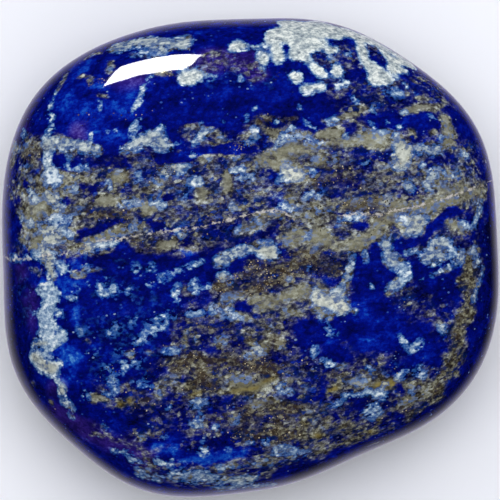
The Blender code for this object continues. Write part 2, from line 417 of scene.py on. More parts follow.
        (0.3, 1.8, -5.5, 0.2, -5.2), (0.45, 0.2, -7.2, 1.2, -7.3), (0.25, 2.5, -7.2),
        (0.25, -5.3, -6.3, -5.4, -7.2), (0.35, 13.6, -10.7), (0.3, 14.4, -11.8, 15.2, -11.3),
        (0.3, 12.9, -12.3, 13.6, -11.9), (0.35, 0.5, -12.3, 2.4, -12.2), (0.25, -8.4, -8.2),
        (0.2, -13.7, -6.8), (0.25, -3.4, -9.9), (0.4, -1.5, -10.3, -0.6, -10.2),
    )),
    # Darker olive bands, rich in pyrite
    (MOSS, 1.8, (
        (0.5, 18.6, -0.6, 18.4, -2.0, 18.2, -3.8, 17.8, -5.4), (0.7, 17.5, -6.4, 17.2, -8.4),
        (0.5, 16.4, -9.4, 15.8, -10.8), (0.4, 13.6, -12.9, 15.6, -11.6), (0.4, 8.0, -14.2, 10.4, -14.6),
        (0.4, 5.0, -16.0, 8.0, -15.4), (0.4, 2.0, -14.8, 5.0, -15.0), (0.5, -6.0, -10.8, -3.0, -10.6),
        (0.2, 2.2, -0.6, 4.4, -0.8), (0.5, 2.0, -12.8, 4.0, -12.4), (0.3, -6.8, -9.0, -4.4, -9.0),
    )),
    (OCHRE, 0.8, (
        (0.1, -5.0, -11.5, -4.2, -11.2), (0.1, -2.2, -11.4, -1.2, -11.2),
        (0.15, -1.5, -11.0, -0.8, -10.8, 0.3, -10.7), (0.1, 0.8, -10.4, 2.0, -10.2),
        (0.3, 10.7, -10.7, 12.2, -10.7), (0.3, 6.6, -11.2, 7.2, -11.0), (0.35, 5.4, -14.7, 5.7, -14.9),
        (0.15, 4.5, -13.7), (0.2, 4.2, -11.4), (0.25, 10.2, -14.6), (0.12, 10.8, -13.7),
        (0.3, -10.1, -11.9), (0.2, -11.0, -12.2), (0.2, -16.6, -12.3), (0.25, 17.5, -9.8), (0.2, 13.3, 8.3),
        (0.2, 11.9, 8.4), (0.2, 14.1, 2.6), (0.2, 3.5, 18.4), (0.15, 4.8, 18.3),
    )),
    # Smooth pale bands and patches
    (KHAKI, 1.3, (
        (0.5, 1.2, 8.6, 2.6, 8.6, 4.2, 8.9), (0.2, 5.0, 9.2, 7.4, 9.5),
        (0.4, 7.6, 9.4, 9.6, 9.7, 11.2, 9.6), (0.3, 16.6, 11.2), (0.2, 14.8, 9.8),
        (0.3, 10.6, 2.9, 12.8, 3.0), (0.0, 12.4, 12.2, 14.4, 12.5, 16.6, 13.2), (0.4, 17.0, 2.4),
        (0.4, 16.0, 5.3, 19.0, 5.8), (0.3, 11.0, 4.4, 12.6, 4.5), (0.1, 6.0, 10.3, 7.4, 10.3),
        (0.3, 4.0, 1.5, 6.6, 1.4, 8.5, 1.2, 10.4, 1.7), (0.3, 1.4, -3.6, 3.4, -3.4, 4.6, -3.1),
        (0.3, -11.3, 6.6, -10.6, 7.0), (0.3, -12.6, 4.4, -11.0, 4.6), (0.2, -9.0, 3.7, -8.4, 4.0),
        (0.2, -9.9, 2.7), (0.2, -13.4, 1.2, -12.2, 1.5), (0.5, -18.4, 3.4, -17.6, 4.2),
        (0.5, -18.0, 1.0, -17.2, 1.8), (0.3, -16.2, 6.6, -15.0, 6.6), (0.1, -2.1, 6.6), (0.1, -4.4, 5.2),
        (0.2, -7.0, 1.3, -6.3, 1.4), (0.3, -15.4, 3.4, -14.6, 3.0), (0.2, 1.3, -6.9),
        (0.9, 2.9, 7.2, 3.8, 7.2), (0.6, 5.9, -3.6, 6.8, -3.7, 7.6, -4.1),
    )),
    # Clear blue between the bands
    (CLEAR, 0.6, (
        (0.15, -14.6, 2.4, -13.0, 2.5, -11.2, 2.8), (0.2, -14.0, 5.9, -13.2, 5.9), (0.15, -13.0, 4.9),
        (0.2, -7.0, 5.3), (0.2, -19.0, 6.2), (0.15, -8.7, 3.0, -7.5, 2.8),
        (0.3, -6.5, 8.4, -4.0, 8.8, -1.6, 9.2, 0.2, 9.2), (0.15, 8.6, 2.7, 9.6, 2.6),
        (0.35, 17.5, 3.9, 16.6, 3.5, 15.6, 2.7, 15.1, 2.1, 14.6, 1.5), (0.45, 9.0, -12.4),
        (0.35, 12.6, -11.2), (0.3, 16.9, -11.0), (0.25, 8.4, -11.9), (0.1, 10.2, 8.3), (0.05, 8.0, 8.2),
        (0.05, 6.8, 8.3), (0.35, 13.0, 11.4, 14.6, 11.6), (0.3, 1.4, 12.3, 4.0, 12.1),
        (0.35, -7.6, 8.3, -5.4, 8.0),
    )),
    # Veins, spots and patches of white calcite
    (WHITE, 0.6, (
        # down the upper left
        (0.1, -16.2, 14.1, -16.4, 13.4), (0.3, -16.6, 12.9, -16.9, 12.2, -16.7, 11.7),
        (0.12, -16.8, 11.3, -16.85, 10.9), (0.3, -16.9, 10.5, -17.0, 10.0), (0.4, -17.1, 9.7, -16.9, 9.4),
        (0.4, -17.1, 8.3, -17.0, 7.3), (0.1, -8.4, 15.1, -8.7, 14.6), (0.3, -8.9, 14.0, -9.2, 13.4),
        (0.18, -9.4, 13.1, -9.7, 12.6), (0.1, -9.4, 11.6, -9.7, 11.1), (0.3, -9.6, 10.8, -9.7, 10.3),
        (0.15, -9.8, 10.4, -9.6, 9.9, -10.0, 9.5), (0.14, -13.25, 10.6, -13.3, 9.9, -13.5, 9.6, -13.2, 9.3),
        (0.1, -19.2, 10.7, -19.0, 10.2), (0.25, -15.4, 7.6), (0.15, -6.1, 9.5),
        # along the top edge
        (0.4, -10.9, 17.4), (0.4, -9.1, 17.4), (0.4, -7.2, 17.4), (0.2, 6.7, 17.6, 6.7, 16.8),
        (0.3, 4.7, 16.6), (0.2, 8.3, 17.1), (0.2, 11.7, 15.0, 12.4, 15.0), (0.15, 15.0, 9.2, 15.6, 9.2),
        (0.15, 8.0, 10.2),
        # across the upper half
        (0.25, 4.7, 11.5, 5.0, 11.1, 5.5, 10.9), (0.22, 6.8, 11.6, 7.4, 11.7), (0.2, 0.3, 10.8),
        (0.15, -2.3, 11.6), (0.12, 3.6, 10.75), (0.12, -4.1, 11.4), (0.12, 2.1, 11.3),
        (0.16, 12.1, 14.0, 12.6, 14.0), (0.14, 13.9, 13.9), (0.12, 11.4, 14.1), (0.12, 13.1, 14.6),
        (0.12, 8.7, 13.3, 9.1, 12.8), (0.2, 10.3, 12.3), (0.2, 15.25, 11.85),
        (0.22, 12.5, 12.1, 13.1, 12.2), (0.22, 11.4, 11.2), (0.25, 12.4, 10.7), (0.14, 10.9, 10.5),
        (0.2, 16.3, 10.3), (0.12, 10.1, 11.2, 10.2, 10.7, 10.3, 10.2), (0.15, 8.0, 10.1),
        (0.15, -4.8, 9.6, -4.2, 9.9, -4.0, 10.4), (0.12, 4.8, 9.7, 5.3, 9.4, 5.9, 9.3),
        (0.12, 3.3, 10.8, 2.6, 10.2, 2.5, 9.7, 2.2, 9.4), (0.18, -4.9, 8.5), (0.2, -0.4, 9.7),
        (0.2, 14.3, 9.3, 15.2, 9.3), (0.15, 9.5, 8.0), (0.2, 15.4, 7.4, 15.3, 6.9), (0.18, 14.3, 7.8),
        (0.2, 13.6, 5.8), (0.15, 18.0, 8.6), (0.25, -18.1, 5.0), (0.15, -18.4, 5.6), (0.3, -16.5, 3.0),
        (0.3, -15.8, 2.6), (0.2, -17.5, 2.8), (0.2, -19.4, 3.0, -18.2, 2.9), (0.2, -14.6, 5.7),
        (0.22, -11.9, 6.2), (0.18, -9.3, 7.0, -9.2, 6.6), (0.16, -9.6, 6.2), (0.18, -10.7, 4.4, -9.6, 4.4),
        (0.2, -8.4, 4.7, -7.5, 4.5), (0.22, -12.4, 1.2, -11.2, 1.2), (0.22, -6.3, 7.5, -5.5, 7.2),
        (0.25, -1.4, 7.3, -0.7, 7.5), (0.16, -0.8, 6.7, 0.3, 6.8), (0.2, -4.8, 6.2, -4.3, 6.2),
        (0.18, -5.75, 5.2), (0.25, 5.2, 7.4), (0.25, 2.3, 6.4, 2.7, 6.6), (0.18, 2.4, 4.2, 3.3, 4.2),
        (0.12, 5.0, 5.3, 5.8, 5.4), (0.12, -6.2, 2.3, -5.7, 2.1), (0.15, 7.5, 3.0), (0.2, 4.9, 1.6),
    )),
    # Paler calcite, with the blue showing through
    (PALE, 0.7, (
        (0.2, -14.6, 7.3, -13.8, 7.7), (0.15, -18.9, 7.9), (0.15, -16.3, 7.4),
        (0.4, -16.7, 6.4, -16.2, 6.3), (0.2, 12.5, 3.3, 14.5, 3.0), (0.25, -16.2, 3.4, -15.2, 3.3),
        (0.2, -15.4, 2.0), (0.2, 8.2, 3.4, 9.4, 3.5), (0.25, 17.6, 3.0, 18.2, 2.8), (0.2, -3.2, 15.2),
        (0.12, -0.95, 15.1), (0.12, 0.3, 12.5), (0.1, -0.3, 11.9), (0.1, 4.1, 12.4), (0.12, -11.7, 10.7),
        (0.12, -11.0, 10.8), (0.12, -7.6, 10.7), (0.1, -12.7, 13.1, -12.7, 12.5),
        # the column down the left side
        (0.3, -15.7, -0.5, -15.5, -0.9), (0.4, -16.0, -4.7), (0.25, -16.3, -5.8, -15.7, -6.2, -16.0, -6.8),
        (0.85, -17.1, -8.5, -16.9, -9.2), (0.15, -16.6, -10.1, -16.2, -10.6), (0.2, -8.4, -0.7, -8.1, -0.7),
        (0.15, -12.6, -2.3, -12.2, -2.9, -11.5, -2.9, -10.9, -2.7), (0.28, -10.7, -9.3),
        (0.15, -9.9, -9.0, -9.2, -9.2), (0.15, -20.2, -0.1, -18.8, 0.0, -17.6, 0.1, -16.0, 0.3),
        # the middle of the stone
        (0.1, -2.4, -1.6), (0.1, -1.8, -2.2), (0.22, -4.3, -0.3, -5.1, -0.8, -5.8, -1.1, -6.4, -1.3),
        (0.25, -4.3, -2.5), (0.12, -4.5, -1.9), (0.12, -3.6, -2.4), (0.1, -5.7, -2.4),
        (0.22, -6.1, -2.9, -6.0, -3.4), (0.2, -5.2, -4.5, -4.2, -4.4), (0.12, 5.0, -1.3), (0.1, 10.3, -2.3),
        (0.1, 14.6, -1.9),
        # the lower half
        (0.15, 6.4, -6.3, 7.2, -6.3), (0.2, 12.4, -6.7, 12.8, -7.2), (0.18, 13.6, -7.6, 14.0, -6.9),
        (0.2, 5.3, -7.7, 5.5, -8.1), (0.18, 6.2, -8.5, 6.8, -8.7),
        (0.22, 8.0, -11.6, 8.8, -11.5, 9.6, -11.3), (0.1, -4.7, -12.1), (0.28, -3.8, -16.3),
        (0.22, 2.4, -16.4, 3.2, -16.3), (0.22, 4.0, -16.4, 5.2, -16.3), (0.35, -4.2, -18.5, -2.9, -18.5),
        (0.3, -1.6, -18.6, -0.2, -18.5), (0.15, -7.2, -15.0),
        (0.25, -11.4, -16.3, -10.6, -16.4, -9.9, -17.0), (0.35, -7.6, -17.0, -7.0, -17.4),
        (0.2, -6.5, -16.9),
    )),
    # Lumps of chalky white along the top edge
    (CHALK, 0.5, (
        (0.85, -5.6, 15.2, -5.1, 15.1), (0.65, -1.4, 17.6), (0.55, 1.2, 16.9), (0.3, 0.8, 16.1),
        (0.6, 1.7, 18.4, 2.6, 18.8), (1.4, 3.2, 18.8, 4.6, 18.5, 5.6, 18.9),
        (0.9, 3.4, 19.8, 6.0, 19.6, 7.6, 19.3), (0.8, 7.4, 19.3, 9.0, 18.8, 10.4, 18.3),
        (0.75, 10.4, 18.3, 11.8, 17.5, 13.0, 16.7), (0.5, 2.4, 16.9, 2.2, 17.9),
        (0.6, 4.0, 17.1, 4.2, 17.8), (0.6, 5.4, 17.9, 6.2, 18.2), (0.6, 3.7, 15.3, 4.0, 14.9),
        (0.65, 5.6, 15.7), (0.35, 4.6, 14.1, 6.0, 14.2), (0.5, 7.2, 15.9), (0.3, 7.9, 14.7),
        (0.15, 7.4, 14.3), (0.5, 9.2, 18.2, 9.5, 17.1, 9.9, 16.2), (0.8, 10.2, 16.0, 10.5, 15.3),
        (0.3, 10.4, 14.8), (0.8, 12.6, 16.5, 13.2, 16.3), (0.45, 12.3, 15.6, 13.2, 15.6),
    )),
    # Greyer calcite, mixed with rock
    (SAGE, 0.7, (
        # along the top and across the left
        (0.85, -11.0, 17.7, -9.0, 18.0, -7.0, 18.1, -5.4, 18.4), (0.5, -16.9, 9.2, -15.6, 9.3),
        (0.35, -15.4, 8.7, -15.2, 8.2), (0.4, -14.6, 9.3, -13.0, 9.1), (0.25, -10.6, 9.1, -10.0, 9.4),
        (0.55, -9.4, 9.6, -8.2, 9.7, -7.4, 9.5), (0.3, -6.8, 9.2), (0.35, -3.9, 10.2, -3.2, 10.7),
        (0.4, 0.2, 10.3), (0.35, -7.0, 7.4, -5.5, 7.3),
        # the middle
        (0.6, -2.8, -0.3, -2.1, -0.3), (0.4, -0.9, 0.2, -0.1, 0.6), (0.3, -2.6, -1.4),
        # the right side
        (0.4, 14.2, 9.2, 16.0, 9.3), (0.35, 15.5, 7.5, 15.2, 6.6), (0.2, 14.9, 6.0), (0.3, 13.2, 5.9),
        (0.3, 16.4, 6.7, 17.5, 6.9), (0.35, 14.1, 2.4), (0.15, 13.6, 3.4), (0.15, 14.2, 3.6),
        (0.25, 19.3, 4.4, 18.9, 2.8), (0.6, 11.4, 1.1, 11.6, 0.4, 11.7, -0.3), (0.2, 13.0, 0.6, 14.2, 0.9),
        (0.9, 15.3, 1.0, 15.5, 0.3, 15.2, -0.1), (0.3, 12.5, -2.0, 11.6, -2.3, 11.3, -2.8),
        (0.2, 9.6, 0.1, 9.8, -0.5), (0.3, 8.4, 0.0, 8.2, -1.2, 7.8, -2.2, 7.0, -3.2),
        (0.25, 15.4, -1.6, 16.4, -1.1, 17.4, -0.5, 17.8, 0.3), (0.3, 16.5, -1.0),
        (0.3, 18.7, 0.5, 19.0, -0.4), (0.15, 19.6, -1.0, 19.2, -2.4, 18.8, -3.4), (0.2, 8.8, -4.6),
        (0.3, 16.3, -5.9),
        # the lower half
        (0.2, 2.7, -11.0, 3.2, -11.2), (0.3, 0.5, -7.3, 1.2, -7.4), (0.2, -0.3, -8.1),
        (0.2, -4.7, -12.2, -3.8, -12.0), (0.2, -5.0, -14.0, -4.5, -14.1), (0.1, -2.4, -17.4, -1.0, -17.2),
        (0.4, -4.0, -18.5, 0.0, -18.6), (0.25, 2.4, -16.4, 3.4, -16.3),
    )),
    (PALE, 0.5, (
        (0.4, 12.7, -0.9, 13.0, -1.5), (0.2, 16.9, 0.5),
    )),
    (COLUMN, 0.5, (
        (1.0, -17.0, -3.2, -16.9, -4.4, -17.1, -5.6, -17.0, -6.4), (0.45, -15.8, -6.4), (0.5, -17.0, -7.4),
    )),
    (FAINT, 0.8, (
        # small spots of the lower left
        (0.28, -15.1, -3.3), (0.12, -11.8, -1.8), (0.12, -13.7, -2.1), (0.15, -14.6, -2.5),
        (0.2, -13.6, -0.7), (0.25, -9.6, -0.8, -9.4, -1.1), (0.4, -8.5, -2.3),
        (0.35, -7.2, -1.7, -6.6, -1.3), (0.15, -10.3, -2.8), (0.12, -9.9, -5.3, -9.5, -5.3),
        (0.2, -11.6, -5.9, -11.2, -5.8), (0.3, -6.4, -4.4, -7.2, -4.9, -7.8, -5.5, -8.2, -5.9),
        (0.22, -8.8, -6.4, -9.2, -6.9), (0.12, -13.9, -7.9), (0.14, -13.4, -8.2, -12.6, -7.8),
        (0.12, -14.3, -6.0), (0.2, -11.0, -7.9), (0.14, -12.1, -9.6), (0.25, -11.5, -10.3, -11.3, -10.9),
        (0.2, -9.6, -10.5, -8.8, -10.5), (0.3, -13.9, -11.5), (0.22, -12.6, -11.5, -11.8, -11.5),
        (0.25, -6.8, -12.6), (0.15, -14.0, -10.3),
        # the lower middle and the lower right
        (0.15, 5.6, -5.2, 6.6, -6.2), (0.15, 10.0, -9.2), (0.35, 13.6, -9.2, 14.3, -9.5),
        (0.25, 12.6, -10.2, 13.0, -9.8), (0.15, 13.5, -11.3), (0.45, 11.0, -11.6), (0.3, 7.4, -12.4),
        (0.45, 10.3, -12.8, 10.0, -13.2), (0.28, -6.9, -7.8, -6.3, -7.6), (0.15, -4.4, -13.4),
        (0.22, -3.9, -15.3), (0.15, -3.0, -14.2), (0.2, -0.1, -15.4), (0.28, 1.3, -15.6),
        (0.2, -0.7, -16.2), (0.15, -2.0, -16.1),
    )),
    (HAZE, 0.9, (
        (0.3, -10.0, 17.0, -8.0, 17.0), (0.3, -12.4, -14.2), (0.4, -9.2, -18.0, -7.4, -18.5),
        (0.5, -6.4, -18.4, -5.0, -18.7), (0.4, -3.0, -19.3, 1.4, -19.2), (0.4, -2.3, -4.5, -3.0, -4.1),
        (0.3, -1.2, -13.4),
    )),
    (CREAM, 0.7, (
        (0.55, 3.0, 7.2, 3.7, 7.1), (0.3, -16.9, 5.5, -16.6, 5.0, -16.0, 4.7),
        (0.2, -13.8, 1.0, -13.3, 1.0), (0.45, -16.8, -0.3, -16.7, -1.5), (0.4, -17.0, 1.2, -16.3, 1.3),
        (0.2, -17.4, 2.0, -16.4, 2.2), (0.9, 12.6, 8.4), (0.65, 5.9, -3.6, 6.8, -3.7, 7.6, -4.1),
        (0.25, -1.5, 4.4), (0.2, -5.4, 1.8), (0.18, -9.9, 2.5), (0.45, 0.4, 0.6, 1.8, 0.8),
        (0.3, 13.4, 3.2, 14.4, 3.0), (0.2, -17.4, 0.7), (0.3, 11.4, 4.7), (0.2, 11.3, -10.7),
        (0.3, -18.1, -7.3, -17.2, -7.2), (0.7, -17.2, -8.6, -17.0, -9.0), (0.2, -16.0, -10.9, -15.8, -11.3),
        (0.3, -15.4, -12.1, -14.9, -12.5), (0.1, -15.1, -13.4),
    )),
    # Specks in the painted violet sheen
    (SPRINKLED, 1.2, (
        (0.8, -3.2, 16.7, -1.6, 16.4, 0.0, 16.2), (0.5, -13.2, -14.4, -11.2, -15.2, -9.4, -16.0),
    )),
    # Clusters of brassy flecks
    (FLECKS, 0.8, (
        (0.35, -13.6, 14.6), (0.3, -12.5, 14.8), (0.3, -12.4, 13.5), (0.25, -14.2, 11.7, -13.4, 11.8),
        (0.2, -12.0, 12.0, -8.2, 12.1), (0.3, -18.6, 8.9), (0.25, 2.3, 15.3), (0.3, -7.9, 15.4, -6.7, 15.4),
        (0.3, -1.2, 9.5, -0.4, 9.6), (0.3, -10.0, 6.9), (0.3, -13.2, 3.7), (0.3, -10.8, 3.5),
        (0.35, -2.4, 4.7), (0.3, -4.7, 6.9), (0.3, -7.5, 7.4, -6.4, 7.4), (0.4, -14.0, 0.8),
        (0.3, 17.4, 5.6), (0.3, 18.9, 5.3), (0.25, 19.4, 6.5), (0.3, 18.4, 1.8), (0.3, 7.0, 6.4, 9.4, 6.3),
        (0.4, 2.8, -13.0, 3.8, -12.5), (0.25, 4.6, -12.0), (0.3, -0.8, -12.6), (0.3, -1.2, -14.6),
        (0.35, -4.2, -10.5, -3.2, -10.6), (0.3, 3.2, -15.3), (0.3, 2.0, -14.6), (0.3, -1.2, -15.3),
        (0.3, 16.3, -9.4), (0.25, 15.8, -10.8, 15.3, -11.4), (0.2, 12.6, -13.0, 13.4, -12.7),
        (0.3, 0.6, -1.0, 2.6, -1.2), (0.25, -12.3, -13.0), (0.25, -16.3, -12.4), (0.2, 17.2, -6.5),
        (0.5, 8.0, 4.0, 12.0, 4.6), (0.4, -0.6, -8.9, 1.4, -8.8), (0.3, 2.8, -9.2), (0.3, -5.7, -9.0),
        (0.3, 6.3, -13.4), (0.25, -9.2, -11.1), (0.25, -3.2, 3.0, -2.2, 3.2), (0.3, -5.4, 1.9),
        (0.3, 10.0, 3.7, 11.0, 3.2), (0.25, 5.2, 6.4, 5.8, 6.4),
    )),
    # Painted reflection: violet sheens on the left and lower-left rim and around the highlight.
    (VIOLET_SHEEN, 1.6, (
        (1.0, -15.9, -13.4, -14.0, -14.5, -12.0, -15.6, -10.0, -16.2, -8.6, -17.4), (0.6, -16.6, -10.6),
        (0.6, -18.4, -3.4, -18.4, -5.4), (0.6, -19.2, -1.0), (0.5, -14.5, 10.4),
        (0.5, -11.0, 14.7, -9.4, 14.9), (0.9, -3.4, 16.8, 0.2, 16.4), (0.8, -19.0, 11.4),
    )),
)

# Thin pale seams full of pyrite, drawn as lines of x, y points.
HAIRLINES = (
    (-12.7, 1.4, -11.0, 1.55, -9.5, 1.85, -7.0, 2.2, -4.0, 2.6, -1.0, 3.4, 1.5, 3.95, 2.8, 3.9, 3.3, 3.5),
    (-20.7, 0.1, -20.1, -0.2, -18.9, -0.05, -17.6, -0.1),
    (-17.5, 0.15, -15.8, 0.3, -15.2, 0.5),
    (8.0, 3.6, 11.0, 3.7, 14.0, 4.3, 17.0, 5.2, 19.0, 5.9, 20.6, 6.5),
)


# The shares of a mineral where no stroke has laid any.
AMBIENT = {"matrix": 0.02, "calcite": 0.08, "ochre": 0.2, "pyrite": 0.06, "shade": -0.3, "violet_sheen": 0.0}

# The rock's layering rises to the right as seen from the show face, and it dips
# as it goes down into the stone.
LAYER_TURN = math.radians(9)
LAYER_DIP = 0.5
STROKE_WANDER = 0.14
STROKE_SWELLING = 0.3
# A hairline is drawn this near to its path, fades out over this much more, and has
# its sides measured this far out, all in mm.
HAIRLINE_REACH = 0.3
HAIRLINE_FADE = 0.5
HAIRLINE_SIDE_REACH = 1
# The painting gives way to the layering's own pattern down over the edge.
PAINTED_DEPTH = 7.5
FADED_DEPTH = 9.5


def smooth_step(value):
    """0 below 0 and 1 above 1, with a smooth slope between."""
    share = np.clip(value, 0, 1)
    return share * share * (3 - 2 * share)


def gap_to_path(points, path):
    """Each point's distance to the line through the path's corners."""
    gap = np.linalg.norm(points - path[0], axis=1)
    for start, end in zip(path, path[1:]):
        run = end - start
        along = np.clip((points - start) @ run / (run @ run), 0, 1)
        gap = np.minimum(gap, np.linalg.norm(points - start - along[:, None] * run, axis=1))
    return gap


def lift(path, skin):
    """Sets a path's flat x, y points on the skin of the show face."""
    flat = np.reshape(path, (-1, 2))
    nearest = [np.argmin(((skin[:, :2] - spot) ** 2).sum(1)) for spot in flat]
    return np.column_stack([flat, skin[nearest, 2]])


def painted_minerals(points):
    """Every mineral's share at each point, as the strokes lay it down one over the other."""
    shares = {name: np.full(len(points), level) for name, level in AMBIENT.items()}
    skin = points[points[:, 2] > points[:, 2].max() / 2]
    # No seam in a rock has a straight border: places wander a little, and widths swell and shrink.
    wander = [layered_field(points, 2.2, 1.5, seed) * STROKE_WANDER for seed in (11, 12)]
    wandered = points + np.column_stack([*wander, np.zeros(len(points))])
    swelling = np.exp(STROKE_SWELLING * layered_field(points, 1.5, 1.0, seed=13))
    for levels, softness, strokes in PAINTING:
        for half_width, *path in strokes:
            gap = gap_to_path(wandered, lift(path, skin))
            cover = smooth_step((half_width * swelling - gap) / softness + 0.5)
            for name, level in levels.items():
                shares[name] += (level - shares[name]) * cover
    return shares


def layered_field(points, along, across, seed, waves=48):
    """A smooth random field of about unit spread, drawn out along the rock's layers."""
    x, y, z = points.T
    cos, sin = math.cos(LAYER_TURN), math.sin(LAYER_TURN)
    axes = np.stack([
        (x * cos + y * sin) / along,
        (y * cos - x * sin + z * LAYER_DIP) / across,
        (z - y * LAYER_DIP) / across,
    ])
    draw = np.random.default_rng(seed)
    turns = draw.normal(size=(waves, 3))
    turns *= draw.uniform(0.5, 1.3, (waves, 1)) * math.pi / np.linalg.norm(turns, axis=1, keepdims=True)
    return np.cos(turns @ axes + draw.uniform(0, 2 * math.pi, (waves, 1))).sum(0) * math.sqrt(2 / waves)


def layered_minerals(points):
    """The same minerals where the stone can't be seen in the painting: on its edge and its back."""
    bands = layered_field(points, 11.0, 1.6, seed=4)
    lumps = layered_field(points, 1.6, 0.9, seed=5)
    matrix = np.clip(0.34 + 0.3 * bands + 0.12 * lumps, 0.03, 0.92)
    spots = smooth_step((layered_field(points, 1.3, 0.9, seed=6) - 1.55) / 0.5)
    veins = smooth_step(1.3 - abs(layered_field(points, 5.0, 5.0, seed=7)) / 0.07)
    veins *= smooth_step(layered_field(points, 4.0, 4.0, seed=8) - 0.6)
    return {
        "matrix": matrix,
        "calcite": np.maximum(spots, veins),
        "ochre": np.clip(0.35 + 0.3 * layered_field(points, 6.0, 1.5, seed=9), 0, 1),
        "pyrite": np.clip(0.1 + 0.5 * matrix + 0.2 * lumps, 0.05, 1),
        "shade": np.clip(0.45 * layered_field(points, 5.0, 2.0, seed=10), -0.8, 0.9),
        "violet_sheen": np.zeros(len(points)),
    }


def hairlines(points, skin):
    """How near each point is to a hairline, and its distance to it, signed by its side of the line."""
    near = np.zeros(len(points))
    side = np.ones(len(points))
    for line in HAIRLINES:
        path = lift(line, skin)
        closest = np.full(len(points), np.inf)
        for start, end in zip(path, path[1:]):
            gap = gap_to_path(points, np.array([start, end]))
            run = (end - start)[:2]
            turn = run[0] * (points[:, 1] - start[1]) - run[1] * (points[:, 0] - start[0])
            nearer = gap < closest
            closest[nearer] = gap[nearer]
            beside = nearer & (gap < HAIRLINE_SIDE_REACH)
            side[beside] = (np.sign(turn) * gap)[beside]
        drawn = smooth_step((HAIRLINE_REACH + HAIRLINE_FADE - closest) / HAIRLINE_FADE)
        near = np.maximum(near, drawn)
    return near, side


def write_attribute(mesh, name, values):
    attribute = mesh.attributes.new(name, "FLOAT", "POINT")
    attribute.data.foreach_set("value", np.asarray(values, np.float32))


points = read_points(stone.data) / MM
depth = points[:, 2].max() - points[:, 2]
hidden = smooth_step((depth - PAINTED_DEPTH) / (FADED_DEPTH - PAINTED_DEPTH))
painted, layered = painted_minerals(points), layered_minerals(points)
for name in AMBIENT:
    write_attribute(stone.data, name, painted[name] * (1 - hidden) + layered[name] * hidden)
near, side = hairlines(points, points[depth < FADED_DEPTH])
write_attribute(stone.data, "hairline", near * (1 - hidden))
write_attribute(stone.data, "hairline_side", side)

# The polished rock. Each mineral's share is broken into grains: a grain shows
# where the share beats the noise, so a share of one half gives a salt and pepper
# mix. Calcite fades to sky blue at its borders. Pyrite is brass in dark specks.


def hue(red, green, blue):
    """A colour from the 0 to 255 values that a screen shows."""
    shares = [value / 255 for value in (red, green, blue)]
    return (*[s / 12.92 if s < 0.04045 else ((s + 0.055) / 1.055) ** 2.4 for s in shares], 1.0)


def blend(share, low, high):
    """Mixes two colours, each a wire or a fixed colour."""
    node = add_node(share.tree, "ShaderNodeMix", {"Factor": share}, data_type="RGBA")
    for socket, colour in zip((node.inputs[6], node.inputs[7]), (low, high)):
        if isinstance(colour, Wire):
            share.tree.links.new(colour.socket, socket)
        else:
            socket.default_value = colour
    return Wire(node.outputs[2])


def ramp(share, *stops):
    """A colour that runs through the stops, each a place from 0 to 1 and a colour."""
    node = add_node(share.tree, "ShaderNodeValToRGB", {"Fac": share})
    elements = node.color_ramp.elements
    while len(elements) < len(stops):
        elements.new(0.5)
    for element, (place, colour) in zip(elements, stops):
        element.position = place
        element.color = colour
    return Wire(node.outputs["Color"])


def rock_space(tree, local, stretch):
    """Places in mm, turned along the rock's layers and squeezed so that patterns run out along them."""
    inputs = {"Vector": local, "Rotation": (0, 0, LAYER_TURN), "Scale": (stretch * MM, MM, MM)}
    return Wire(add_node(tree, "ShaderNodeMapping", inputs, vector_type="TEXTURE").outputs[0])


def grain(tree, place, per_mm, seed, detail=3.0, roughness=0.6):
    """Noise of that many grains to the mm, from about -0.4 to 0.4."""
    inputs = {"Vector": place, "W": seed, "Scale": per_mm, "Detail": detail, "Roughness": roughness}
    node = add_node(tree, "ShaderNodeTexNoise", inputs, noise_dimensions="4D")
    return Wire(node.outputs["Fac"]) - 0.5


def crystals(tree, place, per_mm):
    """Grains with soft, wandering borders: three random values for each, from -0.5 to 0.5."""
    wander = add_node(tree, "ShaderNodeTexNoise", {"Vector": place, "Scale": per_mm * 0.8, "Detail": 3.0})
    moved = {0: Wire(wander.outputs["Color"]), 1: (0.9 / per_mm,) * 3, 2: place}
    place = Wire(add_node(tree, "ShaderNodeVectorMath", moved, operation="MULTIPLY_ADD").outputs[0])
    inputs = {"Vector": place, "Scale": per_mm, "Smoothness": 0.4}
    node = add_node(tree, "ShaderNodeTexVoronoi", inputs, feature="SMOOTH_F1")
    luck = add_node(tree, "ShaderNodeSeparateColor", {0: Wire(node.outputs["Color"])})
    return [Wire(output) - 0.5 for output in luck.outputs]


def flecks(tree, place, per_mm, share, size):
    """Small round specks: 1 on a speck, and a random value for each of them."""
    node = add_node(tree, "ShaderNodeTexVoronoi", {"Vector": place, "Scale": per_mm})
    luck = add_node(tree, "ShaderNodeSeparateColor", {0: Wire(node.outputs["Color"])})
    chosen, width, tone = [Wire(output) for output in luck.outputs]
    reach = size * (width * 0.7 + 0.5)
    shown = (reach - Wire(node.outputs["Distance"])).step(0.0, 0.08)
    return shown * (share - chosen).step(0.0, 0.02), tone


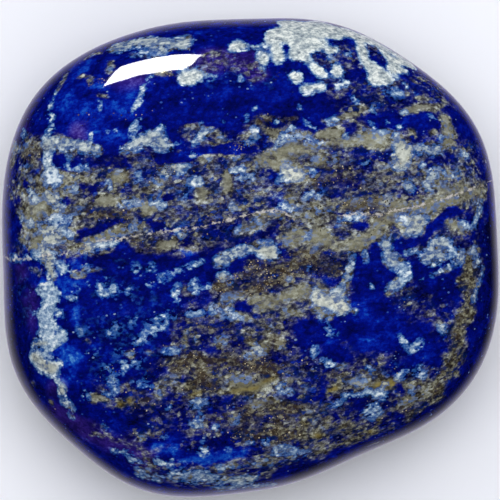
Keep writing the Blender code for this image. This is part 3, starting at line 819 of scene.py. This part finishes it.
def build_lapis(material):
    material.use_nodes = True
    tree = material.node_tree
    shader = tree.nodes["Principled BSDF"]
    local = Wire(add_node(tree, "ShaderNodeTexCoord").outputs["Object"])
    share = {}
    for name in (*AMBIENT, "hairline", "hairline_side"):
        share[name] = Wire(add_node(tree, "ShaderNodeAttribute", attribute_name=name).outputs["Fac"])

    # Grains are longer along the rock's layers than across them.
    layers = rock_space(tree, local, 1.4)
    even = rock_space(tree, local, 1.0)
    streaks = rock_space(tree, local, 5.0)
    bands = grain(tree, streaks, 1.1, 6.0, 3.0)
    clumps = grain(tree, layers, 0.9, 1.0, 2.0, 0.5)
    tones = grain(tree, layers, 1.9, 3.0, 4.0, 0.7)
    edges = grain(tree, layers, 1.9, 4.0, 3.0, 0.6)
    fine = grain(tree, layers, 4.8, 2.0, 2.0, 0.6)
    crystal, crystal_tone, crystal_luck = crystals(tree, layers, 3.5)

    # Lazurite
    tone = share["shade"] * 0.22 - share["matrix"] * 0.12
    mixed = share["matrix"].step(0.1, 0.5)
    tone = tone + clumps * 0.5 + tones * 0.9 + bands * 0.3 + 0.43
    tone = tone + (fine * 1.4 + crystal_luck.step(0.1, 0.3) * 0.2) * (mixed * 0.6 + 0.4)
    blue = ramp(
        tone,
        (0.0, hue(2, 4, 42)),
        (0.25, hue(2, 7, 80)),
        (0.45, hue(2, 12, 116)),
        (0.62, hue(5, 30, 150)),
        (0.8, hue(18, 74, 180)),
        (1.0, hue(84, 144, 204)),
    )
    dusky = (share["matrix"] + clumps).step(0.15, 0.8) * 0.5
    blue = blend(dusky, blue, hue(16, 48, 92))
    # Painted reflection: a violet sheen laid over the blue where its strokes lie.
    violet_sheen = ramp(tone, (0.2, hue(26, 16, 84)), (0.5, hue(54, 34, 124)), (1.0, hue(140, 120, 196)))
    blue = blend(share["violet_sheen"] * 0.8, blue, violet_sheen)

    # Grey host rock, from brown through olive to pale
    ragged = bands * 1.2 + clumps * 0.7 + edges * 0.9 + fine * 0.6 + crystal * 0.5
    cover = share["matrix"] + ragged * share["matrix"].step(0.0, 0.3)
    smooth = share["matrix"].step(0.75, 1.0) * 0.7
    mottle = (tones + fine * 1.7 + crystal_tone * 0.6) * (1 - smooth)
    mottle = mottle + bands * 0.6 + clumps * 0.2 + share["shade"] * 0.2 + 0.43
    grey = ramp(
        mottle,
        (0.0, hue(30, 28, 34)),
        (0.25, hue(66, 66, 68)),
        (0.5, hue(108, 110, 106)),
        (0.72, hue(138, 143, 140)),
        (1.0, hue(190, 200, 202)),
    )
    olive = ramp(
        mottle,
        (0.0, hue(40, 34, 26)),
        (0.25, hue(82, 77, 56)),
        (0.5, hue(120, 117, 88)),
        (0.72, hue(150, 150, 124)),
        (1.0, hue(200, 202, 180)),
    )
    host = blend(share["ochre"], grey, olive)
    host = blend(share["ochre"].step(0.7, 1.1) * (mottle * 0.5 + 0.25), host, hue(140, 120, 34))
    covered = cover.step(0.1, 0.85)
    colour = blend(covered, blue, host)

    # Calcite, as dust and as grains that run together
    dots, dot_tone = flecks(tree, layers, 4.2, share["calcite"] * (clumps * 4.0 + 1.0), 0.36)
    dusted = ramp(dot_tone, (0.0, hue(14, 44, 146)), (0.7, hue(50, 84, 168)), (1.0, hue(130, 154, 190)))
    colour = blend(dots * (0.8 - covered * 0.8), colour, dusted)
    frayed = edges * 2.2 + fine * 1.3 + crystal_luck * 0.8
    solid = share["calcite"].step(0.9, 1.6)
    white_share = share["calcite"] + frayed * share["calcite"].step(0.08, 0.35) * (1 - solid * 0.6)
    glow = (tones * 0.9 + fine * (solid * 0.6 + 1.3) + crystal_tone * 0.5) * (1 - smooth)
    glow = glow + (white_share - 0.4).maths("MINIMUM", 1.0) * 0.5 + share["shade"] * 0.15 + 0.22
    white = ramp(
        glow,
        (0.0, hue(64, 88, 130)),
        (0.3, hue(108, 136, 172)),
        (0.6, hue(156, 178, 200)),
        (1.0, hue(226, 234, 238)),
    )
    warm = ramp(
        glow,
        (0.0, hue(96, 92, 76)),
        (0.3, hue(138, 138, 118)),
        (0.6, hue(174, 176, 160)),
        (1.0, hue(226, 228, 216)),
    )
    cream = blend(share["ochre"].step(0.3, 0.75), white, warm)
    colour = blend(white_share.step(0.15, 0.5) * 0.6, colour, hue(38, 96, 178))
    colour = blend(white_share.step(0.3, 1.1), colour, cream)

    # Hairlines
    wide = fine * 0.9 + edges * 0.4 + 0.05
    line = (wide - share["hairline_side"].maths("ABSOLUTE")).step(-0.08, 0.08)
    pale = ramp(edges * 2.0 + fine * 2.0 + 0.5, (0.0, hue(74, 68, 64)), (1.0, hue(214, 208, 202)))
    colour = blend(line * share["hairline"].step(0.3, 0.6) * 0.75, colour, pale)

    # Pyrite
    rich = share["pyrite"] * (clumps * 2.0 + 0.9).maths("MAXIMUM", 0.0)
    coarse, coarse_tone = flecks(tree, even, 3.4, rich * rich * 0.45, 0.26)
    small, small_tone = flecks(tree, even, 6.0, rich * rich * 0.6, 0.36)
    colour = blend(rich.step(0.35, 1.0) * covered * 0.3, colour, hue(72, 56, 42))
    brass = ramp(
        coarse_tone,
        (0.0, hue(36, 30, 20)),
        (0.4, hue(84, 72, 46)),
        (0.65, hue(156, 140, 106)),
        (1.0, hue(244, 230, 198)),
    )
    dust = ramp(
        small_tone,
        (0.0, hue(14, 12, 18)),
        (0.45, hue(46, 40, 30)),
        (0.7, hue(112, 98, 70)),
        (1.0, hue(226, 210, 174)),
    )
    colour = blend(small * 0.9, colour, dust)
    colour = blend(coarse, colour, brass)

    tree.links.new(colour.socket, shader.inputs["Base Color"])
    metal = coarse.maths("MAXIMUM", small)
    tree.links.new((metal * 0.35).socket, shader.inputs["Metallic"])
    roughness = covered * 0.03 + metal * 0.15 + 0.04
    tree.links.new(roughness.socket, shader.inputs["Roughness"])
    shader.inputs["IOR"].default_value = 1.5


build_lapis(polished_lapis)
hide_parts("lapis_stone")
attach(stone, "root")

# The floor: one plain pale board, matt and level, that the stone lies on. It
# casts no reflection of its own in the polish, so the rock's colours stay deep.

FLOOR_HALF = 2.0
FLOOR_CORNERS = ((-1, -1), (1, -1), (1, 1), (-1, 1))
floor_mesh = bpy.data.meshes.new("floor")
corners = [(x * FLOOR_HALF, y * FLOOR_HALF, 0) for x, y in FLOOR_CORNERS]
floor_mesh.from_pydata(corners, [], [(0, 1, 2, 3)])
floor = bpy.data.objects.new("floor", floor_mesh)
bpy.context.scene.collection.objects.link(floor)
floor_paint = bpy.data.materials.new("floor_paint")
floor_paint.use_nodes = True
paint = floor_paint.node_tree.nodes["Principled BSDF"]
paint.inputs["Base Color"].default_value = hue(236, 238, 246)
paint.inputs["Roughness"].default_value = 0.9
floor_mesh.materials.append(floor_paint)
floor.visible_glossy = False

# The studio: a dark room, which leaves the flat face free of glare, with a pale
# glow low down that edges the stone. Two soft lamps above light the rock, and a
# strip lamp makes the highlight on the polish.

world = bpy.data.worlds.new("studio")
bpy.context.scene.world = world
world.use_nodes = True
sky = world.node_tree
direction = Wire(add_node(sky, "ShaderNodeTexCoord").outputs["Generated"])
up = Wire(add_node(sky, "ShaderNodeSeparateXYZ", {0: direction}).outputs["Z"])
surround = blend(up.step(-0.95, -0.45), hue(204, 200, 220), hue(14, 14, 18))
sky.links.new(surround.socket, sky.nodes["Background"].inputs["Color"])


def add_lamp(name, place, aim, width, height, power, glossy, roll=0.0):
    """An area lamp at a place, turned to face the aim, both in metres, and rolled by some degrees."""
    lamp = bpy.data.lights.new(name, "AREA")
    lamp.shape = "RECTANGLE"
    lamp.size = width
    lamp.size_y = height
    lamp.energy = power
    holder = bpy.data.objects.new(name, lamp)
    holder.location = place
    holder.rotation_euler = (Vector(aim) - Vector(place)).to_track_quat("-Z", "Y").to_euler()
    holder.rotation_euler.rotate_axis("Z", math.radians(roll))
    holder.visible_glossy = glossy
    holder.visible_diffuse = not glossy
    holder.visible_camera = False
    bpy.context.scene.collection.objects.link(holder)


def around(azimuth, elevation, distance):
    """A place at an azimuth from +X towards +Y and an elevation, in degrees, and a distance in metres."""
    turn, lift_angle = math.radians(azimuth), math.radians(elevation)
    level = distance * math.cos(lift_angle)
    return (level * math.cos(turn), level * math.sin(turn), distance * math.sin(lift_angle))


stone_middle = (0, 0, 0.007)
add_lamp("key", around(92, 60, 1.0), stone_middle, 1.5, 1.5, 12.2, False)
add_lamp("overhead", around(-60, 80, 1.0), stone_middle, 1.6, 1.6, 8.9, False)
add_lamp("strip", around(106.8, 30, 0.5), (-0.008, 0.0155, 0.012), 0.188, 0.145, 2.8, True, roll=-22)

# The camera looks straight down on the show face, from well above it, so that
# the stone fills the frame from side to side as it does in the photograph.

# The frame's width and the stone's width in it, in pixels
PHOTO_WIDTH = 500
STONE_PIXELS = 497.6
# The height of the lens and of the stone's widest line, and the frame's middle, in metres
CAMERA_HEIGHT = 0.7
STONE_LEVEL = 0.0075
FRAME_MIDDLE = (-0.0000169, 0.0006456)
view_width = (cad_box[1].x - cad_box[0].x) * PHOTO_WIDTH / STONE_PIXELS
camera_data = bpy.data.cameras.new("camera")
camera_data.lens = camera_data.sensor_width * (CAMERA_HEIGHT - STONE_LEVEL) / view_width
camera = bpy.data.objects.new("camera", camera_data)
camera.location = (*FRAME_MIDDLE, CAMERA_HEIGHT)
bpy.context.scene.collection.objects.link(camera)
bpy.context.scene.camera = camera
bpy.context.scene.view_settings.view_transform = "Standard"
